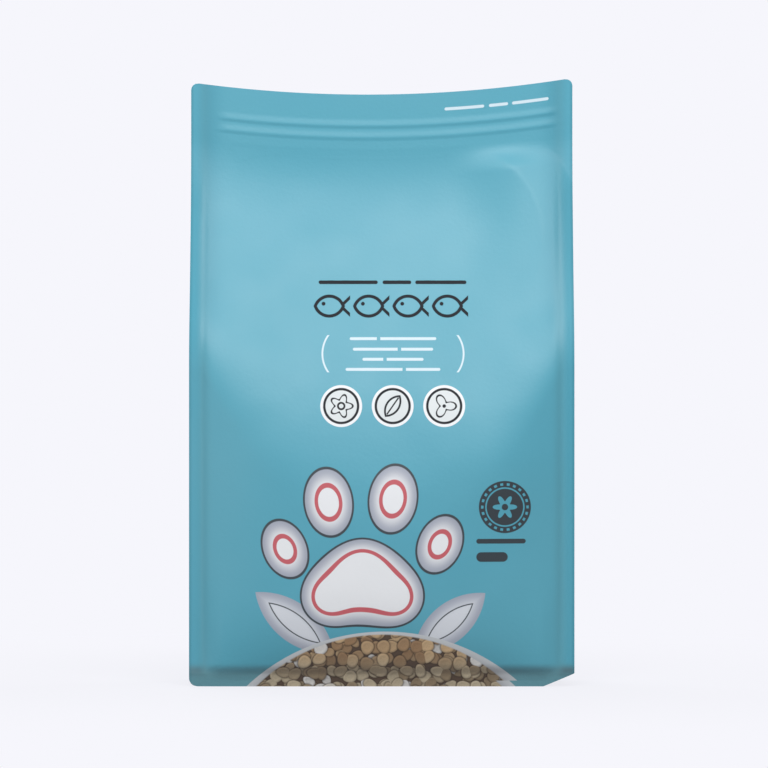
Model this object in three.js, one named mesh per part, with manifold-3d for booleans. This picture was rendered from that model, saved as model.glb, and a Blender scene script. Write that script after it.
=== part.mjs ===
// A flat-bottomed film pouch of dry pet food, filled, heat-sealed and standing on its base.
// The pack is sealed, so the film, the press-to-close strip and the food are one closed solid.
// Millimetres, +Z up. The origin is the middle of the base, and the front panel faces -Y.
import * as THREE from 'three';
import { mergeVertices } from 'three/addons/utils/BufferGeometryUtils.js';
import Module from 'manifold-3d';

const wasm = await Module();
wasm.setup();

// Cut size of the front and back panels
const bagWidth = 240; // across a panel, with its side seals
const bagHeight = 370.6; // up to the middle of the top edge, which hangs lowest
const topSag = 7.9; // how far the ends of the top edge stand above its middle
const topTilt = 1.3; // rise of the right end of the top edge, and fall of its left end
const sagReach = 140; // height below the header over which the sag dies out
const cornerRadius = 5; // at the two top corners and the bottom left corner
const cornerCutWidth = 19.4; // trimmed bottom right corner, along the base
const cornerCutHeight = 8.1; // trimmed bottom right corner, up the side

// Heat seals
const sealThickness = 0.6; // two layers of film
const sideSealWidth = 7.5; // flat strip outside each of the four upright seams
const baseSealHeight = 8; // flat strip below the front and back panels

// Press-to-close strip, whose two ridges show through the film of the flat header
const tapeThickness = 0.2; // of the strip between the seals
const ridgeDrop = 19; // from the top edge to the middle of the upper ridge
const ridgePitch = 7.4; // from one ridge to the other
const ridgeWidth = 4.6; // foot of a ridge
const ridgeHeight = 0.8; // how far a ridge stands out of the header
const ridgeTaper = 7; // length over which the end of a ridge runs out
const ridgeLeftMargin = 15.5; // from the left cut edge to the ridges
const ridgeRightMargin = 8.5; // from the ridges to the right cut edge
const headerMargin = 5.7; // flat film below the ridges

// Filled body
const gussetWidth = 84; // width of a side gusset, which is the depth of the bag at its seams
const seamSlope = 0.52; // how far the upper panels lean out at their seams, per unit of height
const middleSlope = 0.42; // how far they lean out in their middle
const slopeEase = 45; // height over which that lean begins below the header
const seamShoulder = 8; // softness of the shoulder at the seams
const middleShoulder = 26; // softness of the shoulder in the middle of a panel
const belly = 17; // how far the front and back panels bulge past their seams
const bellyPower = 2.4; // fullness of the bulge across a panel
const bellyRise = 86; // height above the base seal at which the bulge is full
const overhang = 4.5; // how far the food hangs out over the base seals
const overhangRise = 9; // height over which it swells out
const overhangFade = 66; // further height over which it dies out
const overhangRun = 14; // distance from a seam over which it swells out
const gussetSwell = 4; // how far the food pushes the lower gussets out
const gussetFoldStart = 150; // height at which the gussets begin to fold in
const gussetFoldRise = 95; // further height at which they lie fully folded in
const baseRounding = 11; // radius where the sides turn under to the base

// Puff of air under the right end of the press-to-close strip, on the front
const puffHeight = 3;
const puffRadius = 24;
const puffRight = 36; // from the right cut edge
const puffDrop = 82; // from the top edge

// Mesh steps
const bodyRows = 36;
const turnRows = 6; // rows where the sides turn under to the base
const frontColumns = 26;
const backColumns = 16;
const gussetColumns = 8;
const headerColumns = 30;
const ridgeRows = 6; // rows over the foot of one ridge
const overrun = 1; // how far the seals and the header pass the outline that they are cut to

const seamX = bagWidth / 2 - sideSealWidth;
const fullDepth = gussetWidth / 2;
const headerHalf = sealThickness + tapeThickness / 2;
const ridgeTops = [bagHeight - ridgeDrop, bagHeight - ridgeDrop - ridgePitch];
const headerBottom = ridgeTops[1] - ridgeWidth / 2 - headerMargin;
const ridgeLeft = ridgeLeftMargin - bagWidth / 2;
const ridgeRight = bagWidth / 2 - ridgeRightMargin;

function evenSteps(from, to, steps) {
  return Array.from({ length: steps + 1 }, (_, i) => THREE.MathUtils.lerp(from, to, i / steps));
}

// The lesser of two values, rounded where they meet
function softMin(a, b, radius) {
  const near = Math.max(radius - Math.abs(a - b), 0) / radius;
  return Math.min(a, b) - (near * near * radius) / 4;
}

// How far the sagging top edge stands above its middle at x
function topLift(x) {
  const across = x / seamX;
  return topSag * across * across + topTilt * across;
}

// Height of a point of the bag once the sag has lifted it
function lifted(x, z) {
  return z + topLift(x) * THREE.MathUtils.smoothstep(z, headerBottom - sagReach, headerBottom);
}

// Half depth of the leaning upper panels
function leanDepth(z, slope) {
  const below = Math.max(headerBottom - z, 0);
  return headerHalf + slope * (below - slopeEase * (1 - Math.exp(-below / slopeEase)));
}

// Half depth of the bag at its four upright seams
function seamDepth(z) {
  return softMin(leanDepth(z, seamSlope), fullDepth, seamShoulder);
}

// The food that hangs out over a base seal
function overhangDepth(x, z) {
  const inward = THREE.MathUtils.smoothstep(seamX - Math.abs(x), 0, overhangRun);
  const top = baseSealHeight + overhangRise;
  const rise = THREE.MathUtils.smoothstep(z, baseSealHeight, top);
  return overhang * inward * rise * (1 - THREE.MathUtils.smoothstep(z, top, top + overhangFade));
}

// Half depth of the bag at any place on its front and back panels
function panelDepth(x, z) {
  const inward = 1 - Math.min(Math.abs(x) / seamX, 1) ** bellyPower;
  const rise = THREE.MathUtils.clamp((z - baseSealHeight) / bellyRise, 0, 1);
  const bulge = belly * inward * (1 - (1 - rise) ** 3);
  const filled = fullDepth + bulge + overhangDepth(x, z);
  const slope = THREE.MathUtils.lerp(seamSlope, middleSlope, inward);
  const shoulder = THREE.MathUtils.lerp(seamShoulder, middleShoulder, inward);
  return softMin(leanDepth(z, slope), filled, shoulder);
}

// The puff of air in the front panel
function puff(x, z) {
  const across = (x - bagWidth / 2 + puffRight) / puffRadius;
  const up = (z - bagHeight + puffDrop) / puffRadius;
  return puffHeight * Math.exp(-across * across - up * up);
}

// How far the middle of a side gusset is folded in between the panels
function gussetFold(z) {
  const depth = Math.min(seamDepth(z), fullDepth);
  const folded = Math.sqrt(fullDepth * fullDepth - depth * depth);
  const end = gussetFoldStart + gussetFoldRise;
  return folded * THREE.MathUtils.smoothstep(z, gussetFoldStart, end);
}

// How far the body has drawn in towards its base
function baseInset(z) {
  if (z >= baseRounding) return 0;
  return baseRounding - Math.sqrt(baseRounding ** 2 - (baseRounding - z) ** 2);
}

// The right side of a level outline, from front to back: a seal, the gusset and a seal
function gussetOutline({ z, sealed }) {
  const inset = baseInset(z);
  const seam = seamX - inset;
  const outer = sealed ? bagWidth / 2 + overrun : seam;
  const half = seamDepth(z) - inset;
  const inner = sealed ? half - sealThickness : half;
  const fold = gussetFold(z);
  const swell = gussetSwell * (1 - THREE.MathUtils.smoothstep(z, 0, gussetFoldStart + gussetFoldRise));
  const points = [[outer, -half], [outer, -inner]];
  for (const v of evenSteps(-1, 1, gussetColumns)) {
    points.push([seam + swell * (1 - v * v) - fold * (1 - Math.abs(v)), v * inner]);
  }
  points.push([outer, inner], [outer, half]);
  return points;
}

// One level outline of the filled body, counter-clockwise from the front left seam
function bodyOutline(level) {
  const inset = baseInset(level.z);
  const narrowing = (seamX - inset) / seamX;
  const front = evenSteps(-seamX, seamX, frontColumns).map((x) => {
    return [x * narrowing, inset - panelDepth(x, level.z) - puff(x, level.z)];
  });
  const back = evenSteps(seamX, -seamX, backColumns).map((x) => {
    return [x * narrowing, panelDepth(x, level.z) - inset];
  });
  const right = gussetOutline(level);
  const left = right.map(([x, y]) => [-x, y]).reverse();
  return [...front, ...right, ...back, ...left];
}

// Levels of the body's outlines. The side seals start on top of the base seals.
function bodyLevels() {
  const turning = evenSteps(0, Math.PI / 2, turnRows).map((a) => baseRounding * (1 - Math.cos(a)));
  const rising = evenSteps(baseRounding, headerBottom + overrun, bodyRows).slice(1);
  const all = [...turning, ...rising];
  const below = all.filter((z) => z < baseSealHeight).map((z) => ({ z, sealed: false }));
  const above = all.filter((z) => z > baseSealHeight).map((z) => ({ z, sealed: true }));
  const step = [false, true].map((sealed) => ({ z: baseSealHeight, sealed }));
  return [...below, ...step, ...above];
}

// Merges the vertices of a closed mesh and drops the triangles that this closes up
function solidFrom(geometry) {
  const bare = geometry.index ? geometry.toNonIndexed() : geometry.clone();
  bare.deleteAttribute('normal');
  bare.deleteAttribute('uv');
  const merged = mergeVertices(bare, 1e-4);
  const index = merged.index.array;
  const triangles = [];
  for (let i = 0; i < index.length; i += 3) {
    const [a, b, c] = index.slice(i, i + 3);
    if (a !== b && b !== c && c !== a) triangles.push(a, b, c);
  }
  return new wasm.Manifold(
    new wasm.Mesh({
      numProp: 3,
      vertProperties: new Float32Array(merged.attributes.position.array),
      triVerts: new Uint32Array(triangles),
    }),
  );
}

function geometryFrom(solid) {
  const mesh = solid.getMesh();
  const geometry = new THREE.BufferGeometry();
  geometry.setAttribute('position', new THREE.BufferAttribute(mesh.vertProperties, 3));
  geometry.setIndex(new THREE.BufferAttribute(mesh.triVerts, 1));
  return geometry;
}

function indexedGeometry(positions, faces) {
  const geometry = new THREE.BufferGeometry();
  geometry.setAttribute('position', new THREE.Float32BufferAttribute(positions, 3));
  geometry.setIndex(faces);
  return geometry;
}

// Triangles that fill a level outline, which may hold repeated points
function capTriangles(outline) {
  const points = outline.map(([x, y]) => new THREE.Vector2(x, y));
  const kept = points.map((_, i) => i).filter((i) => !points[i].equals(points.at(i - 1)));
  const triangles = THREE.ShapeUtils.triangulateShape(kept.map((i) => points[i]), []);
  return triangles.map((triangle) => triangle.map((corner) => kept[corner]));
}

// The filled body and its side seals, as a stack of level outlines
function body() {
  const levels = bodyLevels();
  const outlines = levels.map(bodyOutline);
  const count = outlines[0].length;
  const positions = [];
  const faces = [];
  outlines.forEach((outline, row) => {
    for (const [x, y] of outline) positions.push(x, y, lifted(x, levels[row].z));
  });
  for (let row = 0; row < levels.length - 1; row++) {
    for (let i = 0; i < count; i++) {
      const a = row * count + i;
      const b = row * count + ((i + 1) % count);
      faces.push(a, b, b + count, a, b + count, a + count);
    }
  }
  const last = (levels.length - 1) * count;
  for (const [a, b, c] of capTriangles(outlines[0])) faces.push(c, b, a);
  for (const [a, b, c] of capTriangles(outlines.at(-1))) faces.push(last + a, last + b, last + c);
  return solidFrom(indexedGeometry(positions, faces));
}

// How far the press-to-close strip lifts the film of the header
function ridgeLift(x, z) {
  const reach = Math.min(x - ridgeLeft, ridgeRight - x) / ridgeTaper;
  const nearest = Math.min(...ridgeTops.map((top) => Math.abs(z - top)));
  const along = Math.min(nearest / (ridgeWidth / 2), 1);
  return ridgeHeight * THREE.MathUtils.clamp(reach, 0, 1) * Math.cos((Math.PI / 2) * along);
}

// The flat band above the food, as a sheet with a front and a back face
function header() {
  const across = evenSteps(-bagWidth / 2 - overrun, bagWidth / 2 + overrun, headerColumns);
  const overRidges = ridgeTops.flatMap((top) => {
    return evenSteps(top - ridgeWidth / 2, top + ridgeWidth / 2, ridgeRows);
  });
  const up = [headerBottom, ...overRidges, bagHeight + overrun].sort((a, b) => a - b);
  const columns = across.length;
  const size = columns * up.length;
  const positions = [];
  const faces = [];
  for (const face of [-1, 1]) {
    for (const z of up) {
      for (const x of across) {
        positions.push(x, face * (headerHalf + ridgeLift(x, z)), lifted(x, z));
      }
    }
  }
  const quad = (a, b, c, d) => faces.push(a, b, c, a, c, d);
  for (let row = 0; row < up.length - 1; row++) {
    for (let i = 0; i < columns - 1; i++) {
      const a = row * columns + i;
      quad(a, a + 1, a + 1 + columns, a + columns);
      quad(size + a, size + a + columns, size + a + 1 + columns, size + a + 1);
    }
    const left = row * columns;
    const right = left + columns - 1;
    quad(left, left + columns, size + left + columns, size + left);
    quad(right, size + right, size + right + columns, right + columns);
  }
  for (let i = 0; i < columns - 1; i++) {
    const top = (up.length - 1) * columns + i;
    quad(i, size + i, size + i + 1, i + 1);
    quad(top, top + 1, size + top + 1, size + top);
  }
  return solidFrom(indexedGeometry(positions, faces));
}

// The flat strip below one panel, from the surface that the bag stands on to its upright side
function baseSeal(face) {
  const top = Math.max(baseSealHeight, baseRounding);
  const strip = new THREE.BoxGeometry(bagWidth + 2 * overrun, sealThickness, top + 2 * overrun);
  strip.translate(0, face * (fullDepth - sealThickness / 2), top / 2);
  return solidFrom(strip);
}

// The outline that the panels are cut to, run through the whole depth of the bag
function cuttingOutline() {
  const right = bagWidth / 2;
  const edge = (x) => bagHeight + topLift(x);
  const shape = new THREE.Shape();
  shape.moveTo(cornerRadius - right, 0);
  shape.lineTo(right - cornerCutWidth, 0);
  shape.lineTo(right, cornerCutHeight);
  shape.lineTo(right, edge(right) - cornerRadius);
  shape.quadraticCurveTo(right, edge(right), right - cornerRadius, edge(right - cornerRadius));
  const topEdge = evenSteps(right - cornerRadius, cornerRadius - right, headerColumns);
  for (const x of topEdge.slice(1)) shape.lineTo(x, edge(x));
  shape.quadraticCurveTo(-right, edge(-right), -right, edge(-right) - cornerRadius);
  shape.lineTo(-right, cornerRadius);
  shape.quadraticCurveTo(-right, 0, cornerRadius - right, 0);
  const depth = gussetWidth + 2 * (belly + puffHeight + overrun);
  const block = new THREE.ExtrudeGeometry(shape, { depth, bevelEnabled: false, curveSegments: 6 });
  block.rotateX(Math.PI / 2);
  block.translate(0, depth / 2, 0);
  return solidFrom(block);
}

const film = new THREE.MeshStandardMaterial({ color: 0x6eb0c3, roughness: 0.5, metalness: 0 });
const joined = body().add(header()).add(baseSeal(-1)).add(baseSeal(1));
const pouch = new THREE.Mesh(geometryFrom(joined.intersect(cuttingOutline())), film);
pouch.name = 'pouch';

const bag = new THREE.Group();
bag.add(pouch);

export default bag;
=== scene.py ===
"""A filled flat-bottomed film pouch of dry pet food, dressed over its solid."""
import math

import bpy
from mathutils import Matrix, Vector


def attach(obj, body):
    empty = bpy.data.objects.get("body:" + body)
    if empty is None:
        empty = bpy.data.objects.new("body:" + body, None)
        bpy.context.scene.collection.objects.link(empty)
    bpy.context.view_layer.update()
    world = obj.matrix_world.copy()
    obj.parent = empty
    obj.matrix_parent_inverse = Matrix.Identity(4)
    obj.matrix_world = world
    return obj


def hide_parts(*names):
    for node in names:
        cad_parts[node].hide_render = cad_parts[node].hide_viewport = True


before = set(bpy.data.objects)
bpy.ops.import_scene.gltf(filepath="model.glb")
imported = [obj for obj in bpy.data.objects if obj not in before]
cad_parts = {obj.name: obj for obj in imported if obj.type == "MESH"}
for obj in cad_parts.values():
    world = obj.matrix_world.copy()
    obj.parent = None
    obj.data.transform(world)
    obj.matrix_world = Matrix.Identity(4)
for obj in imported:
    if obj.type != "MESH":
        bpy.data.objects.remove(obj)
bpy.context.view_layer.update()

MM = 0.001
PER_METRE = 1000

# Sizes in millimetres, as in the solid
WIDTH = 240.0
HEIGHT = 370.6  # up to the middle of the sagging top edge
TOP_SAG, TOP_TILT, SAG_REACH = 7.9, 1.3, 140.0
CORNER = 5.0
CUT_WIDTH, CUT_HEIGHT = 19.4, 8.1  # trimmed bottom right corner
SIDE_SEAL, BASE_SEAL = 7.5, 8.0
SEAM = WIDTH / 2 - SIDE_SEAL
HEADER_BOTTOM = 336.2
RIDGE_TOPS = (350.6, 343.2)
RIDGE_LEFT, RIDGE_RIGHT, RIDGE_TAPER = -104.5, 111.5, 7.0
FULL_DEPTH = 42.0
SEAM_SLOPE, MIDDLE_SLOPE, SLOPE_EASE = 0.52, 0.42, 45.0
SEAM_SHOULDER, MIDDLE_SHOULDER = 8.0, 26.0
BELLY, BELLY_POWER, BELLY_RISE = 17.0, 2.4, 86.0
GUSSET_SWELL, FOLD_START, FOLD_RISE = 4.0, 150.0, 95.0
BASE_ROUNDING = 11.0

# Sizes of the film alone, in millimetres
FILM = 0.3  # thickness of one web
RIDGE_ABOVE, RIDGE_BELOW = 4.8, 1.6  # flanks of a ridge
SEAL_OPENING, SEAL_CLOSING = 45.0, 8.0  # below the header, where the two seals at a gusset part
GUSSET_START = 8.3  # height of a gusset's lower end
GUSSET_HEADER_LAP = 4.0  # how far a gusset reaches up into the header
GUSSET_GAP = 1.5  # from a panel's outer face to the middle of the gusset's film, in film thicknesses
LEAST_GAP = 0.12  # from the pouch's middle plane to a gusset's film where it is folded flat
TRAY_SIDE_GAP, TRAY_FACE_GAP = 0.8, 0.9  # from the rim of the base film to the seams and panels

# Which way a web faces, and how its wall lies on its sheet
FRONT, BACK = -1, 1
LEFT, RIGHT = -1, 1
INWARD, CENTRED = -1, 0
SHARP_ANGLE = math.radians(50)


class Field:
    """A number that varies over a surface, kept as the socket of a node."""

    def __init__(self, graph, socket):
        self.graph, self.socket = graph, socket

    def maths(self, operation, *values):
        sockets = dict(enumerate(values))
        return self.graph.add("ShaderNodeMath", {"operation": operation}, sockets)

    def __add__(self, other):
        return self.maths("ADD", self, other)

    def __sub__(self, other):
        return self.maths("SUBTRACT", self, other)

    def __rsub__(self, other):
        return self.maths("SUBTRACT", other, self)

    def __mul__(self, other):
        return self.maths("MULTIPLY", self, other)

    def __truediv__(self, other):
        return self.maths("DIVIDE", self, other)

    def __pow__(self, other):
        return self.maths("POWER", self, other)

    def __neg__(self):
        return self.maths("MULTIPLY", self, -1.0)

    def __abs__(self):
        return self.maths("ABSOLUTE", self)

    __radd__, __rmul__ = __add__, __mul__

    def least(self, other):
        return self.maths("MINIMUM", self, other)

    def most(self, other):
        return self.maths("MAXIMUM", self, other)

    def within(self, low, high):
        return self.most(low).least(high)

    def root(self):
        return self.maths("SQRT", self.most(0.0))

    def exp(self):
        return self.maths("EXPONENT", self)

    def sin(self):
        return self.maths("SINE", self)

    def cos(self):
        return self.maths("COSINE", self)

    def angle(self, other):
        return self.maths("ARCTAN2", self, other)

    def nearest_whole(self):
        return self.maths("ROUND", self)

    def below(self, limit):
        return self.maths("LESS_THAN", self, limit)

    def smooth(self, low, high):
        """0 below low, 1 above high, and a soft step between."""
        span = {"From Min": low, "From Max": high}
        settings = {"interpolation_type": "SMOOTHSTEP"}
        return self.graph.add("ShaderNodeMapRange", settings, {"Value": self, **span})


class Graph:
    """Adds nodes to one tree."""

    def __init__(self, tree):
        self.tree = tree

    def add(self, kind, settings=None, sockets=None, output=0):
        """A new node, from its type, its settings and what goes into its sockets."""
        node = self.tree.nodes.new(kind)
        for name, value in (settings or {}).items():
            setattr(node, name, value)
        for name, value in (sockets or {}).items():
            if isinstance(value, Field):
                self.tree.links.new(value.socket, node.inputs[name])
            else:
                node.inputs[name].default_value = value
        return Field(self, node.outputs[output] if node.outputs else None)

    def split(self, vector):
        return [self.add("ShaderNodeSeparateXYZ", None, {0: vector}, axis) for axis in range(3)]

    def join(self, x, y, z):
        return self.add("ShaderNodeCombineXYZ", None, {0: x, 1: y, 2: z})

    def mix(self, share, low, high):
        """A colour that goes from low to high as share goes from 0 to 1."""
        settings = {"data_type": "RGBA"}
        return self.add("ShaderNodeMix", settings, {0: share, 6: low, 7: high}, 2)

    def noise(self, place, scale, detail):
        return self.add("ShaderNodeTexNoise", None, {"Vector": place, "Scale": scale, "Detail": detail})


def soft_least(a, b, radius):
    """The lesser of two values, with a rounded change from one to the other."""
    near = (radius - abs(a - b)).most(0.0) / radius
    return a.least(b) - near * near * radius / 4


def nearest_of(*distances):
    """The distance to the nearest of several shapes."""
    nearest = distances[0]
    for distance in distances[1:]:
        nearest = nearest.least(distance)
    return nearest


def bell(field):
    """1 where a field is 0, falling away on both sides."""
    return (-(field * field)).exp()


def length(x, z):
    return (x * x + z * z).root()


def round_inset(past, radius):
    """How far a round edge draws in, at a distance past the point where it starts."""
    return radius - (radius**2 - past * past).root()


# Shape of the webs


def top_lift(x):
    across = x / SEAM
    return across * across * TOP_SAG + across * TOP_TILT


def lifted(x, z):
    """The height of a point once the top edge sags and tilts."""
    return z + top_lift(x) * z.smooth(HEADER_BOTTOM - SAG_REACH, HEADER_BOTTOM)


def corner_cut(z):
    """How much of the width the trimmed corner takes away."""
    return (1 - z / CUT_HEIGHT).most(0.0) * CUT_WIDTH


def lean_depth(z, slope):
    """How far a panel stands out where it leans, below the header."""
    below = (HEADER_BOTTOM - z).most(0.0)
    return (below - SLOPE_EASE * (1 - (-below / SLOPE_EASE).exp())) * slope + FILM


def seam_depth(z):
    return soft_least(lean_depth(z, SEAM_SLOPE), FULL_DEPTH, SEAM_SHOULDER)


def panel_depth(x, z, belly):
    inward = 1 - (abs(x) / SEAM).least(1.0) ** BELLY_POWER
    rise = ((z - BASE_SEAL) / BELLY_RISE).within(0.0, 1.0)
    filled = (1 - (1 - rise) ** 3) * inward * belly + FULL_DEPTH
    slope = SEAM_SLOPE + (MIDDLE_SLOPE - SEAM_SLOPE) * inward
    shoulder = SEAM_SHOULDER + (MIDDLE_SHOULDER - SEAM_SHOULDER) * inward
    return soft_least(lean_depth(z, slope), filled, shoulder)


def ridge_lift(x, z, height):
    """The two ridges of the press-to-close strip, under the film."""
    reach = ((x - RIDGE_LEFT).least(RIDGE_RIGHT - x) / RIDGE_TAPER).within(0.0, 1.0)
    away = nearest_of(*[((z - top) / RIDGE_ABOVE).most((top - z) / RIDGE_BELOW) for top in RIDGE_TOPS])
    return (1 - away.smooth(0.0, 1.0)) * reach * height


def seal_creases(x, z, depth):
    """Grooves along the inner edges of the side and base seals."""
    side_offset, side_width, side_share = 0.8, 2.4, 0.6
    base_offset, base_width, base_share = 0.5, 2.6, 0.5
    end_overlap, end_run = 1, 8.0
    header_fade = z.smooth(HEADER_BOTTOM - 60, HEADER_BOTTOM - 8)
    side = bell((abs(x) - SEAM + side_offset) / side_width) * side_share * (1 - header_fade)
    ends = (SEAM + end_overlap - abs(x)).smooth(0.0, end_run)
    base = bell((z - BASE_SEAL - base_offset) / base_width) * ends * base_share
    return side.most(base) * depth


def calm_top(x, z):
    """The filling starts to lean out later in the middle than at the seals."""
    reach, seam_run, slope = 38.0, 25.0, 0.055
    below = (HEADER_BOTTOM - z).most(0.0)
    return bell(below / reach) * below * (SEAM - abs(x)).smooth(0.0, seam_run) * slope


def base_overhang(x, z):
    """The filling hangs over the base seal."""
    start, full, end = 3.0, 14.5, 80.0
    seam_run, height = 14.0, 2.6
    from_seam = (SEAM - abs(x)).smooth(0.0, seam_run)
    return from_seam * z.smooth(start, full) * (1 - z.smooth(full, end)) * height


def air_puff(x, z, height):
    """Trapped air under the right end of the press-to-close strip, steep towards the corner."""
    middle_x, middle_z = 42.0, 276.0
    flank_start, flank_run = 59.0, 24.0
    dx, dz = x - middle_x, z - middle_z
    from_middle = length(dx, dz)
    upper_right = dx.smooth(-4.0, 48.0) * dz.smooth(-50.0, 42.0)
    flank = (1 - (from_middle - flank_start) / flank_run).within(0.0, 1.0)
    below_header = (HEADER_BOTTOM - z).smooth(-1.0, 18.0)
    return flank * from_middle.smooth(-10.0, 62.0) * upper_right * below_header * height


def low_shoulder(x, z, height):
    """The filling bulges lower down towards the right side."""
    middle_x, middle_z = 72.0, 138.0
    half_width, half_height = 36.0, 40.0
    dx, dz = (x - middle_x) / half_width, (z - middle_z) / half_height
    return (-(dx * dx + dz * dz)).exp() * height


def faint_dents(graph, x, z, depth, seed):
    """Unevenness of the film where no seal holds it."""
    place_scale, seed_step = 0.01, 7.0
    place = graph.join(x * place_scale, z * place_scale, seed * seed_step)
    calm = (SEAM - abs(x)).smooth(0.0, 30.0) * z.smooth(12.0, 60.0)
    below_header = (HEADER_BOTTOM - z).smooth(10.0, 110.0)
    return (graph.noise(place, 2.2, 1.0) - 0.5) * calm * depth * below_header


def parted(z):
    """1 where the two seals beside a gusset stand apart, 0 where they meet under the header."""
    return 1 - z.smooth(HEADER_BOTTOM - SEAL_OPENING, HEADER_BOTTOM - SEAL_CLOSING)


# Trees of the webs


def size_inputs(tree, sizes):
    """Named inputs of a tree, with the identifiers that a modifier sets them by."""
    made = {}
    for name, value in sizes.items():
        kind = "NodeSocketInt" if isinstance(value, int) else "NodeSocketFloat"
        made[name] = tree.interface.new_socket(name, in_out="INPUT", socket_type=kind)
        made[name].default_value = value
    tree.interface.new_socket("Geometry", in_out="OUTPUT", socket_type="NodeSocketGeometry")
    return {name: socket.identifier for name, socket in made.items()}


def start_tree(name, sizes):
    """A tree with a flat unit grid, and the two shares of the way across and along it."""
    tree = bpy.data.node_groups.new(name, "GeometryNodeTree")
    identifiers = size_inputs(tree, sizes)
    graph = Graph(tree)
    inputs = {key: graph.add("NodeGroupInput", None, None, key) for key in sizes}
    counts = {"Vertices X": inputs["Columns"], "Vertices Y": inputs["Rows"]}
    grid = graph.add("GeometryNodeMeshGrid", None, {"Size X": 1.0, "Size Y": 1.0, **counts})
    x, y, _ = graph.split(graph.add("GeometryNodeInputPosition"))
    return (tree, identifiers), graph, inputs, (grid, x + 0.5, y + 0.5)


def close_tree(graph, grid, place, material, flipped):
    """Bends the grid and ends the tree in plain geometry that carries its material."""
    sheet = graph.add("GeometryNodeSetPosition", None, {0: grid, "Position": place})
    if flipped:
        sheet = graph.add("GeometryNodeFlipFaces", None, {0: sheet})
    real = graph.add("GeometryNodeRealizeInstances", None, {0: sheet})
    painted = graph.add("GeometryNodeSetMaterial", None, {0: real, "Material": material})
    graph.add("NodeGroupOutput", None, {0: painted})


def crowded(share, amount):
    """Draws evenly spaced steps from 0 to 1 towards both ends."""
    turn = 2 * math.pi
    return share - (share * turn).sin() * amount / turn


def panel_outline(across, up):
    """Places across and up a panel, inside its rounded and trimmed outline."""
    crowding_across, crowding_up = 0.55, 0.6
    z = crowded(up, crowding_up) * HEIGHT
    top_inset = round_inset((CORNER - (HEIGHT - z)).most(0.0), CORNER)
    base_inset = round_inset((CORNER - z).most(0.0), CORNER)
    left = top_inset + base_inset - WIDTH / 2
    right = WIDTH / 2 - top_inset - corner_cut(z)
    return left + (right - left) * crowded(across, crowding_across), z


def panel_tree(name, sizes, material, face):
    """A front or back panel with its seals, as a bent sheet."""
    made, graph, inputs, (grid, across, up) = start_tree(name, sizes)
    x, z = panel_outline(across, up)
    depth = panel_depth(x, z, inputs["Belly"])
    depth = depth + ridge_lift(x, z, inputs["Ridge height"])
    depth = depth - seal_creases(x, z, inputs["Crease depth"])
    depth = depth + base_overhang(x, z) + air_puff(x, z, inputs["Puff height"])
    depth = depth + low_shoulder(x, z, inputs["Low shoulder"]) - calm_top(x, z)
    depth = depth - (abs(x) - SEAM).most(0.0) * parted(z) * inputs["Seal curl"]
    depth = depth - (BASE_SEAL - z).most(0.0) * inputs["Base tuck"]
    depth = depth + faint_dents(graph, x, z, inputs["Dents"], inputs["Seed"])
    place = graph.join(x * MM, depth * (face * MM), lifted(x, z) * MM)
    close_tree(graph, grid, place, material, face == BACK)
    return made


def gusset_tree(name, sizes, material, side):
    """A side gusset with its two seals, folded in towards the top."""
    made, graph, inputs, (grid, across, up) = start_tree(name, sizes)
    crease_sharpness, edge_clearance, lean_start = 90, 0.1, 0.2
    z = GUSSET_START + up * (HEADER_BOTTOM + GUSSET_HEADER_LAP - GUSSET_START)
    u = across * 2 - 1
    bend = inputs["Gusset share"]
    v = (u / bend).within(-1.0, 1.0)
    sealed = ((abs(u) - bend) / (1 - bend)).most(0.0)
    half = seam_depth(z)
    fold = (FULL_DEPTH**2 - half * half).root() * z.smooth(FOLD_START, FOLD_START + FOLD_RISE)
    swell = (1 - z.smooth(0.0, FOLD_START + FOLD_RISE)) * inputs["Swell"]
    inset = round_inset((BASE_ROUNDING - z).most(0.0), BASE_ROUNDING)
    crease = (-(v * v) * crease_sharpness).exp() * inputs["Crease depth"]
    x = SEAM - inset + (1 - v * v) * swell - (1 - abs(v)) * fold - crease
    x = x + sealed * (SIDE_SEAL - edge_clearance + inset)
    lean = (abs(x) - SEAM).most(0.0) * parted(z) * inputs["Seal curl"]
    inner = (half - FILM * GUSSET_GAP - lean * sealed.smooth(0.0, lean_start)).most(LEAST_GAP)
    place = graph.join(x * (side * MM), v * inner * MM, lifted(x * side, z) * MM)
    close_tree(graph, grid, place, material, side == LEFT)
    return made


def base_tree(name, sizes, material):
    """The base film, a shallow tray whose rim turns up inside the panels and gussets."""
    made, graph, inputs, (grid, across, along) = start_tree(name, sizes)
    radius, flat = inputs["Rounding"], inputs["Flat share"]
    rim_turn, corner_gap = math.radians(84), 0.6
    turns, places = [], []
    for share, reach in ((across, SEAM - TRAY_SIDE_GAP), (along, FULL_DEPTH - TRAY_FACE_GAP)):
        u = share * 2 - 1
        turn = ((abs(u) - flat) / (1 - flat)).most(0.0) * rim_turn
        out = (abs(u) / flat).least(1.0) * (reach - radius) + turn.sin() * radius
        places.append(out * (1 - u.below(0.0) * 2))
        turns.append(turn.sin())
    beside = places[1] / FULL_DEPTH
    swollen = places[0] * (1 + (1 - beside * beside) * (GUSSET_SWELL / SEAM))
    rise = (1 - turns[0] * turns[0] - turns[1] * turns[1]).root()
    z = (1 - rise) * radius + FILM
    trimmed = WIDTH / 2 - corner_gap - corner_cut(z)
    place = graph.join(swollen.least(trimmed) * MM, places[1] * MM, z * MM)
    close_tree(graph, grid, place, material, True)
    return made


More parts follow.
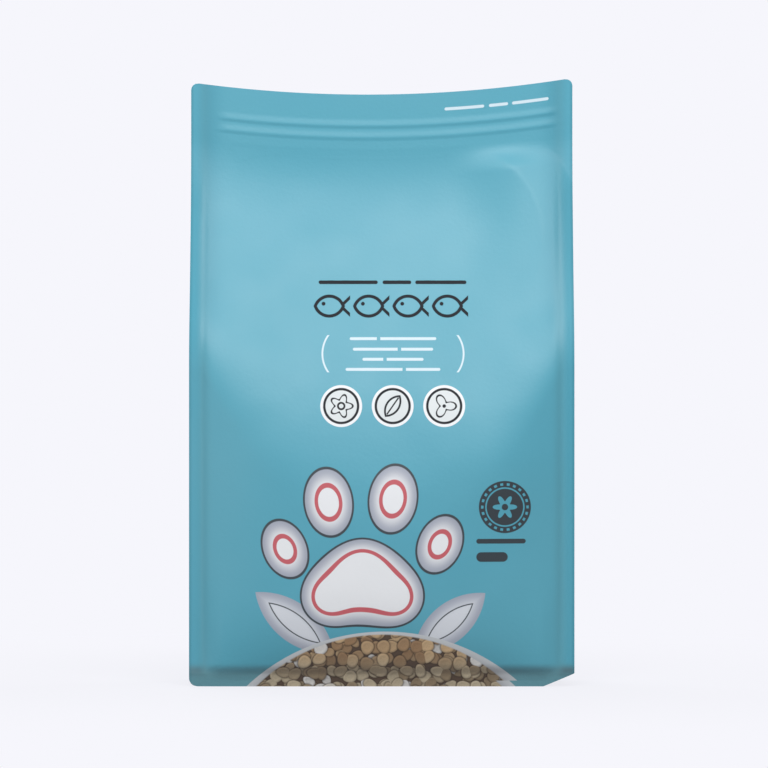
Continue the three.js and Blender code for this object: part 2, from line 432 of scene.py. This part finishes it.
def web(name, made, sizes, offset):
    """One web of film from its tree, as a closed plain mesh at the origin."""
    tree, identifiers = made
    carrier = bpy.data.objects.new(name + "_pattern", bpy.data.meshes.new(name))
    bpy.context.collection.objects.link(carrier)
    pattern = carrier.modifiers.new("pattern", "NODES")
    pattern.node_group = tree
    for key, value in sizes.items():
        pattern[identifiers[key]] = value
    wall = carrier.modifiers.new("wall", "SOLIDIFY")
    wall.thickness, wall.offset = FILM * MM, offset
    graph = bpy.context.evaluated_depsgraph_get()
    mesh = bpy.data.meshes.new_from_object(carrier.evaluated_get(graph), depsgraph=graph)
    bpy.data.objects.remove(carrier)
    mesh.shade_smooth()
    mesh.set_sharp_from_angle(angle=SHARP_ANGLE)
    piece = bpy.data.objects.new(name, mesh)
    bpy.context.collection.objects.link(piece)
    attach(piece, "root")
    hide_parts("pouch")


# Colours


def linear(red, green, blue):
    """A colour given as it looks on screen, 0 to 255."""
    def channel(value):
        value /= 255
        return value / 12.92 if value < 0.04045 else ((value + 0.055) / 1.055) ** 2.4
    return (channel(red), channel(green), channel(blue), 1.0)


FILM_BLUE = linear(89, 168, 189)
PATCH_BLUE = linear(94, 170, 190)
STRIP_BLUE = linear(70, 165, 191)
# Painted shade along the grooves inside the side seals
SEAL_SHADE_BLUE = linear(91, 150, 163)
# Painted shade on the upper panels beside the side seals, where the film turns away from the light
SIDE_SHADE_BLUE = linear(54, 137, 160)
EDGE_BLUE = linear(50, 122, 138)
HEM_GREY = linear(110, 157, 166)
# Painted shade in the crease where the filling hangs over the base seal
CREASE_SHADE_GREY = linear(84, 118, 128)
WHITE = linear(240, 242, 245)
LINE_WHITE = linear(214, 233, 242)
SIGN_GREY = linear(222, 228, 230)
LEAF_GREY = linear(222, 226, 233)
DARK = linear(38, 40, 45)
SLATE = linear(58, 66, 72)
PALE_GREY = linear(168, 174, 188)
CORAL = linear(200, 98, 106)
BAND_RIM, BAND_INNER = linear(206, 210, 213), linear(150, 152, 158)
FOOD_GROUND, FOOD_SHADE = linear(84, 68, 56), linear(58, 46, 36)
FOOD_BROWN, FOOD_BROWN_LOW = linear(168, 134, 100), linear(160, 142, 116)
FOOD_SAND, FOOD_SAND_LOW = linear(224, 192, 150), linear(214, 200, 172)
FOOD_WHITE = linear(244, 242, 238)


# Printed shapes, as distances to an outline in millimetres, negative inside


def inside(distance, edge=0.3):
    """1 inside a shape and 0 outside it, from the distance to its outline."""
    return (0.5 - distance / edge).within(0.0, 1.0)


def disc(x, z, radius):
    return length(x, z) - radius


def bar(x, z, half_length, half_height):
    """A level bar with round ends."""
    along = (abs(x) - (half_length - half_height)).most(0.0)
    return length(along, z) - half_height


def turned(x, z, degrees):
    """Places along and across a line that leans by an angle."""
    lean = math.radians(degrees)
    return x * math.cos(lean) + z * math.sin(lean), z * math.cos(lean) - x * math.sin(lean)


def oval(x, z, half_width, half_height, tilt):
    """A leaning oval. The distance is near enough for soft edges."""
    along, across = turned(x, z, tilt)
    return (length(along / half_width, across / half_height) - 1) * min(half_width, half_height)


def leaf(x, z, tip_to_tip, width, tilt):
    """A pointed leaf between two arcs."""
    along, across = turned(x, z, tilt)
    bend = (tip_to_tip * tip_to_tip - width * width) / (4 * width)
    return (along * along + (abs(across) + bend) ** 2).root() - (bend + width / 2)


def stroke(distance, half_width):
    return abs(distance) - half_width


def lobes(x, z, radius, depth, count):
    """A flower outline with rounded lobes."""
    return length(x, z) - ((z.angle(x) * count).cos() * depth + radius)


def dashes(x, z, middles_and_halves, half_height):
    """Level dashes in one row, each given by its middle and half its length."""
    return nearest_of(*[bar(x - middle, z, half, half_height) for middle, half in middles_and_halves])


def header_line(x, z):
    """A short row of white dashes under the top edge."""
    below_edge, half_height = 10.6, 0.95
    drop = top_lift(x) + HEIGHT - z - below_edge
    return dashes(x, drop, ((52.0, 12.5), (73.5, 6.0), (93.5, 11.5)), half_height)


def fish_row(x, z):
    """Four outlined fish that swim to the left."""
    pitch, middle, height = 24.6, 6.7, 237.0
    body_shift, body_length, body_height, body_line = 2.6, 17.5, 12.5, 1.0
    tail_start, tail_end, tail_cut, tail_slope, tail_line = 4.6, 10.4, 5.0, 0.95, 1.3
    eye_x, eye_z, eye_radius = -6.2, 1.5, 1.2
    step = ((x - middle) / pitch + 0.5).nearest_whole().within(-1.0, 2.0) - 0.5
    u, v = x - middle - step * pitch, z - height
    body = stroke(leaf(u + body_shift, v, body_length, body_height, 0), body_line)
    spread = abs(v) - (u - tail_start) * tail_slope
    tail = stroke(spread, tail_line).most(u - tail_end).most(tail_cut - u)
    return nearest_of(body, tail, disc(u - eye_x, v - eye_z, eye_radius))


def heading(x, z):
    """A thin ruled line over a row of fish."""
    rule_height, half_height = 252.0, 1.15
    rule = dashes(x, z - rule_height, ((-21.0, 18.5), (9.5, 9.0), (37.0, 16.0)), half_height)
    return rule.least(fish_row(x, z))


def small_lines(x, z):
    """Four short white lines, each with one gap, between two curved brackets."""
    middle, half_line, half_gap = 7.0, 0.9, 1.1
    bow_height, bow_centre, bow_radius, bow_half, bow_line = 207.2, 24.0, 20.0, 11.6, 0.55
    heights_halves_gaps = ((216.6, 27.0, -9.0), (210.0, 25.0, 4.0), (203.7, 19.0, -5.0), (197.4, 29.5, 7.0))
    u = x - middle
    rows = [bar(u, z - height, half, half_line).most(half_gap - abs(u - gap))
            for height, half, gap in heights_halves_gaps]
    bow = stroke(disc(abs(u) - bow_centre, z - bow_height, bow_radius), bow_line)
    bow = bow.most(abs(z - bow_height) - bow_half).most(bow_centre - abs(u))
    return nearest_of(*rows, bow)


def round_signs(x, z):
    """Three white discs with a dark ring, each round a simple plant outline."""
    pitch, middle, height, line = 32.0, 6.8, 174.6, 0.6
    plate_radius, ring_radius, ground_radius, ring_line = 13.0, 10.5, 10.4, 0.75
    step = ((x - middle) / pitch).nearest_whole().within(-1.0, 1.0)
    u, v = x - middle - step * pitch, z - height
    flower = stroke(lobes(u, v, 5.6, 1.6, 5), line).least(stroke(disc(u, v, 2.0), line))
    sprig_lean, vein_line, vein_half = 55, 0.45, 6.4
    vein = stroke(turned(u, v, sprig_lean)[1], vein_line).most(disc(u, v, vein_half))
    sprig = stroke(leaf(u, v, 15.0, 7.6, sprig_lean), line).least(vein)
    clover = stroke(lobes(u, v, 5.0, 2.4, 3), line).least(disc(u, v, 1.1))
    left, right = step.below(-0.5), 1 - step.below(0.5)
    icon = flower * left + clover * right + sprig * (1 - left - right)
    ring = stroke(disc(u, v, ring_radius), ring_line)
    return disc(u, v, plate_radius), ring.least(icon), disc(u, v, ground_radius)


def badge(x, z):
    """A dark round badge with a blue ring and a flower, over two short lines."""
    middle_x, middle_z, plate_radius = 76.4, 112.0, 16.2
    bead_radius, bead_line, bead_count, bead_gap, bead_steepness = 14.1, 0.75, 22, 0.15, 2
    ring_radius, ring_line, flower_eye = 11.8, 0.45, 2.0
    u, v = x - middle_x, z - middle_z
    beads = stroke(disc(u, v, bead_radius), bead_line)
    beads = beads.most((bead_gap - (v.angle(u) * bead_count).cos()) * bead_steepness)
    ring = stroke(disc(u, v, ring_radius), ring_line)
    flower = lobes(u, v, 5.6, 2.0, 6).most(flower_eye - length(u, v))
    lines = bar(x - 74.0, z - 90.8, 15.4, 1.5).least(bar(x - 68.4, z - 81.0, 9.8, 3.0))
    return disc(u, v, plate_radius).least(lines), nearest_of(beads, ring, flower)


def big_motif(x, z):
    """Five large pale pads over two leaves."""
    small_pads = ((-60, 86, 13, 18, 24), (-33, 115, 14.5, 20.5, 8),
                  (7, 117, 14.5, 20.5, -8), (36, 89, 13, 18, -24))
    melt = 22.0  # how softly the three discs of the largest pad run together
    largest = soft_least(disc(x + 12, z - 68, 24), disc(x + 33, z - 56, 16), melt)
    largest = soft_least(largest, disc(x - 9, z - 56, 16), melt)
    ovals = [oval(x - pad_x, z - pad_z, *shape) for pad_x, pad_z, *shape in small_pads]
    leaves = leaf(x + 54, z - 40, 62, 24, -38).least(leaf(x - 42, z - 40, 58, 24, 40))
    return nearest_of(*ovals, largest), leaves


def mound(x, z):
    """The arc-topped field of printed food, and the pale band over it."""
    hem_top, slip = 3.7, 5.0  # the print on the hem is out of register on the right
    slip_start, slip_full = 40.0, 60.0
    outer_middle, outer_below, outer_radius = 2.0, 89.6, 124.4
    inner_middle, inner_below, inner_radius = 0.8, 78.5, 111.4
    slipped = x + z.below(hem_top) * x.smooth(slip_start, slip_full) * slip
    outer = disc(slipped - outer_middle, z + outer_below, outer_radius)
    return outer, disc(slipped - inner_middle, z + inner_below, inner_radius)


def printed_food(graph, x, z, pitch, shift):
    """A layer of flat printed pellets: its mask, its shadow, its shade and a random number."""
    row_shift, scatter = 0.37, 0.75
    here = graph.join(x / pitch + shift, z / pitch + shift * row_shift, 0.0)
    settings = {"voronoi_dimensions": "2D", "feature": "F1"}
    sockets = {"Vector": here, "Scale": 1.0, "Randomness": scatter}
    cell = graph.add("ShaderNodeTexVoronoi", settings, sockets, "Position")
    tint = graph.add("ShaderNodeTexVoronoi", settings, sockets, "Color")
    off = graph.add("ShaderNodeVectorMath", {"operation": "SUBTRACT"}, {0: here, 1: cell})
    u, v, _ = graph.split(off)
    first, second, third = graph.split(tint)
    full_turn, flattening, corner_depth, corner_count = 6.28, 0.5, 0.05, 3
    light_up, light_left, least_reach = 0.9, 0.35, 0.05
    pellet_radius, edge, shadow_start, shadow_end = 0.45, 0.05, 0.44, 0.6
    turn, squash = first * full_turn, second * flattening + 1
    along = u * turn.cos() + v * turn.sin()
    beside = (v * turn.cos() - u * turn.sin()) * squash
    corners = (beside.angle(along) * corner_count).cos() * corner_depth
    reach = length(along, beside) * (1 + corners)
    upward = (v * light_up - u * light_left) / reach.most(least_reach)
    relief = reach.smooth(0.26, 0.42) * 0.3 - reach.smooth(0.08, 0.26) * 0.12
    shade = 0.8 + upward * relief - reach.smooth(0.36, 0.47) * 0.3
    shadow = 1 - reach.smooth(shadow_start, shadow_end)
    return inside(reach - pellet_radius, edge), shadow, shade, third


def food_colour(graph, x, z):
    """Three layers of pellets in tan, brown and off-white, greyer and paler lower down."""
    low_down = 1 - z.smooth(6.0, 24.0)
    brown = graph.mix(low_down, FOOD_BROWN, FOOD_BROWN_LOW)
    sandy = graph.mix(low_down, FOOD_SAND, FOOD_SAND_LOW)
    grain = graph.noise(graph.join(x, z, 0.0), 1.1, 2.0)
    colour = FOOD_GROUND
    for pitch, shift, dim in ((8.4, 3.3, 0.8), (9.0, 11.7, 0.92), (9.6, 23.1, 1.0)):
        mask, shadow, shade, chance = printed_food(graph, x, z, pitch, shift)
        tan = graph.mix(chance.smooth(0.05, 0.8), brown, sandy)
        tan = graph.mix(chance.smooth(0.88, 0.9), tan, FOOD_WHITE)
        shade = (shade * dim + (grain - 0.5) * 0.3).within(0.0, 1.0)
        colour = graph.mix(shadow * 0.7, colour, FOOD_SHADE)
        colour = graph.mix(mask, colour, graph.mix(shade, FOOD_SHADE, tan))
    return colour


# Film materials


def start_material(name):
    material = bpy.data.materials.new(name)
    material.use_nodes = True
    material.node_tree.nodes.clear()
    graph = Graph(material.node_tree)
    place = graph.add("ShaderNodeTexCoord", None, None, "Object")
    return material, graph, place


def finish_film(material, graph, place, colour, ink=0.0):
    """Satin film: soft gloss with a faint unevenness. Where ink is 1, the print is dull."""
    gloss, cloud_share, ink_share, specular = 0.45, 0.12, 0.4, 0.36
    cloud = graph.noise(place, 26.0, 2.0)
    fine = graph.noise(place, 420.0, 1.0)
    relief = {"Height": fine + cloud * 2, "Strength": 0.10, "Distance": 0.0006}
    bump = graph.add("ShaderNodeBump", None, relief)
    rough = (cloud - 0.5) * cloud_share + ink * ink_share + gloss
    sockets = {"Base Color": colour, "Roughness": rough, "Normal": bump}
    shader = graph.add("ShaderNodeBsdfPrincipled", None, {**sockets, "Specular IOR Level": specular})
    graph.add("ShaderNodeOutputMaterial", None, {"Surface": shader})
    return material


def film_tone(graph, place):
    """The blue of the film, duller on the side seals, with painted shade in the grooves inside them, beside
    them higher up and in the base crease, and dark at the cut edges.
    """
    patch = graph.noise(place, 9.0, 1.0).smooth(0.3, 0.7)
    x, _, z = graph.split(place)
    x, z = x * PER_METRE, z * PER_METRE
    seal_offset, seal_width, side_offset, side_width = 1.2, 3.8, 4.0, 7.0
    crease_height, crease_width, crease_least = 9.8, 3.2, 0.2
    across, edge = abs(x), WIDTH / 2
    strip = across.smooth(SEAM - 1.5, SEAM + 3.5) * 0.28
    # Painted shade along the groove inside each side seal
    painted_seal_shade = bell((across - SEAM + seal_offset) / seal_width) * 0.32
    # Painted shade high up beside the side seals, where the film turns away from the light
    painted_side_shade = bell((across - SEAM + side_offset) / side_width) * z.smooth(190.0, 260.0) * 0.32
    hem = (1 - z.smooth(7.0, 15.0)) * 0.8
    at_seam, rightward = across.smooth(SEAM - 4, SEAM + 2), x.smooth(-80.0, 80.0)
    # Painted shade in the crease over the base seal, deeper at the side seams and towards the right
    crease = bell((z - crease_height) / crease_width)
    crease = crease * (at_seam * 0.5 + rightward * 0.25 + crease_least)
    cut_edge = across.smooth(edge - 2.2, edge - 0.6) * 0.35
    tone = graph.mix(patch, FILM_BLUE, PATCH_BLUE)
    for share, tint in ((strip, STRIP_BLUE), (painted_seal_shade, SEAL_SHADE_BLUE), (painted_side_shade, SIDE_SHADE_BLUE),
                        (hem, HEM_GREY), (crease, CREASE_SHADE_GREY), (cut_edge, EDGE_BLUE)):
        tone = graph.mix(share, tone, tint)
    return tone


def plain_film():
    material, graph, place = start_material("blue film")
    return finish_film(material, graph, place, film_tone(graph, place))


def motif_layers(graph, x, z):
    """Masks and colours of the large motif, from the lowest layer up."""
    pads, leaves = big_motif(x, z)
    leaf_tone = graph.mix((-leaves / 9).smooth(0.0, 1.0), PALE_GREY, LEAF_GREY)
    pad_tone = graph.mix((-pads / 8).smooth(0.0, 1.0), PALE_GREY, WHITE)
    leaf_line, pad_outline, pad_line = stroke(leaves + 6.5, 0.35), pads - 1.2, stroke(pads + 7.0, 1.1)
    return [(inside(leaves), leaf_tone), (inside(leaf_line), SLATE), (inside(pad_outline), SLATE),
            (inside(pads), pad_tone), (inside(pad_line), CORAL)]


def food_layers(graph, x, z):
    outer, inner = mound(x, z)
    band = graph.mix((-outer / 10).smooth(0.0, 1.0), BAND_RIM, BAND_INNER)
    return [(inside(outer), band), (inside(inner, 0.8), food_colour(graph, x, z))]


def printed_film():
    material, graph, place = start_material("printed blue film")
    x, _, z = graph.split(place)
    x, z = x * PER_METRE, z * PER_METRE
    dark_badge, bright_badge = badge(x, z)
    plate, sign_lines, sign_ground = round_signs(x, z)
    dark_rows = inside(heading(x, z))
    white = small_lines(x, z).least(header_line(x, z))
    layers = [*motif_layers(graph, x, z),
              (inside(dark_badge), SLATE), (inside(bright_badge), FILM_BLUE), (dark_rows, DARK),
              (inside(plate), WHITE), (inside(sign_ground), SIGN_GREY), (inside(sign_lines), DARK),
              (inside(white), LINE_WHITE), *food_layers(graph, x, z)]
    colour = film_tone(graph, place)
    for mask, tone in layers:
        colour = graph.mix(mask, colour, tone)
    ink = dark_rows.most(inside(sign_lines)).most(inside(dark_badge))
    return finish_film(material, graph, place, colour, ink)


# Pouch

printed, blue = printed_film(), plain_film()

panel = {"Columns": 130, "Rows": 280, "Belly": BELLY, "Ridge height": 0.5, "Crease depth": 0.8,
         "Puff height": 6.0, "Low shoulder": 3.6, "Seal curl": 0.28, "Base tuck": 0.28,
         "Dents": 1.4, "Seed": 1}
web("front_panel", panel_tree("front panel", panel, printed, FRONT), panel, INWARD)
back = {**panel, "Columns": 110, "Rows": 220, "Puff height": 0.0, "Low shoulder": 0.0, "Seed": 3}
web("back_panel", panel_tree("back panel", back, blue, BACK), back, INWARD)
gusset = {"Columns": 64, "Rows": 190, "Gusset share": 0.88, "Swell": GUSSET_SWELL,
          "Crease depth": 1.2, "Seal curl": 0.28}
web("right_gusset", gusset_tree("right gusset", gusset, blue, RIGHT), gusset, CENTRED)
web("left_gusset", gusset_tree("left gusset", gusset, blue, LEFT), gusset, CENTRED)
tray = {"Columns": 90, "Rows": 60, "Rounding": BASE_ROUNDING, "Flat share": 0.8}
web("base_film", base_tree("base film", tray, blue), tray, CENTRED)


# Studio, with places in metres

BACKDROP = linear(246, 246, 252)
AMBIENT = 0.24
FLOOR_REACH = 60.0
FLOOR_TONE = (0.8, 0.8, 0.83, 1.0)
FLOOR_TONE_LOW = tuple(0.98 * value for value in FLOOR_TONE[:3]) + (1.0,)
FLOOR_BOUNCE = (0.3, 0.3, 0.32, 1.0)  # what the floor throws back onto the pouch
FLOOR_GLOW = 0.86
# Each lamp has a name, a strength, a place, the height it is aimed at, and its sizes
LAMPS = (
    ("low_fill", 6.0, (-1.3, -1.6, 0.12), 0.12, {"size": 0.6}),
    ("key", 17.0, (0.1, -1.15, 1.15), 0.26, {"shape": "RECTANGLE", "size": 0.8, "size_y": 0.5}),
    ("back_fill", 13.0, (-0.5, 1.2, 0.9), 0.2, {"size": 1.0}),
    ("side_fill", 8.0, (1.2, 0.9, 0.6), 0.15, {"size": 0.8}),
)
CAMERA_PLACE = (0.0014, -3.6, 0.1883)
SENSOR, LENS, VIEW_END = 36.0, 268.0, 200.0


def looked_at(graph):
    """1 for rays from the camera, a reflection or a clear piece, and 0 for plain light."""
    kinds = ("Is Camera Ray", "Is Glossy Ray", "Is Transmission Ray")
    straight, mirrored, through = [graph.add("ShaderNodeLightPath", None, None, kind) for kind in kinds]
    return straight.most(mirrored).most(through)


def floor_material():
    """Pale and lit near the pouch, where its shadow falls, and as bright as the backdrop far out."""
    material, graph, place = start_material("pale floor")
    grain = graph.add("ShaderNodeTexNoise", None, {"Vector": place, "Scale": 3.0})
    lit = graph.add("ShaderNodeBsdfDiffuse", None, {"Color": graph.mix(grain, FLOOR_TONE, FLOOR_TONE_LOW)})
    glow = graph.add("ShaderNodeEmission", None, {"Color": BACKDROP, "Strength": 1.0})
    x, y, _ = graph.split(place)
    glow_share = FLOOR_GLOW + (1 - FLOOR_GLOW) * length(x, y).smooth(0.1, 0.7)
    shown = graph.add("ShaderNodeMixShader", None, {0: glow_share, 1: lit, 2: glow})
    bounce = graph.add("ShaderNodeBsdfDiffuse", None, {"Color": FLOOR_BOUNCE})
    both = graph.add("ShaderNodeMixShader", None, {0: looked_at(graph), 1: bounce, 2: shown})
    graph.add("ShaderNodeOutputMaterial", None, {"Surface": both})
    return material


def studio_floor():
    """A wide pale floor that shows the shadow and blends into the backdrop."""
    mesh = bpy.data.meshes.new("floor")
    signs = ((-1, -1), (1, -1), (1, 1), (-1, 1))
    mesh.from_pydata([(x * FLOOR_REACH, y * FLOOR_REACH, 0) for x, y in signs], [], [(0, 1, 2, 3)])
    mesh.materials.append(floor_material())
    floor = bpy.data.objects.new("floor", mesh)
    bpy.context.collection.objects.link(floor)


def studio_world():
    """Soft light from all round, in front of a pale backdrop."""
    world = bpy.data.worlds.new("studio")
    bpy.context.scene.world = world
    world.use_nodes = True
    world.node_tree.nodes.clear()
    graph = Graph(world.node_tree)
    white = (1.0, 1.0, 1.0, 1.0)
    soft = graph.add("ShaderNodeBackground", None, {"Color": white, "Strength": AMBIENT})
    shown = graph.add("ShaderNodeBackground", None, {"Color": BACKDROP, "Strength": 1.0})
    both = graph.add("ShaderNodeMixShader", None, {0: looked_at(graph), 1: soft, 2: shown})
    graph.add("ShaderNodeOutputWorld", None, {"Surface": both})


def lamp(name, strength, place, aim_height, sizes):
    """An area lamp turned towards a point on the pouch's axis."""
    light = bpy.data.lights.new(name, "AREA")
    light.energy = strength
    for key, value in sizes.items():
        setattr(light, key, value)
    holder = bpy.data.objects.new(name, light)
    holder.location = place
    way = Vector((0.0, 0.0, aim_height)) - Vector(place)
    holder.rotation_euler = way.to_track_quat("-Z", "Y").to_euler()
    bpy.context.collection.objects.link(holder)


def camera():
    """A long lens straight in front, level with the middle of the pouch."""
    view = bpy.data.cameras.new("camera")
    view.sensor_width, view.lens, view.clip_end = SENSOR, LENS, VIEW_END
    eye = bpy.data.objects.new("camera", view)
    eye.location = CAMERA_PLACE
    eye.rotation_euler = (math.radians(90), 0, 0)
    bpy.context.collection.objects.link(eye)
    bpy.context.scene.camera = eye


studio_floor()
studio_world()
for settings in LAMPS:
    lamp(*settings)
camera()
bpy.context.scene.view_settings.view_transform = "Standard"
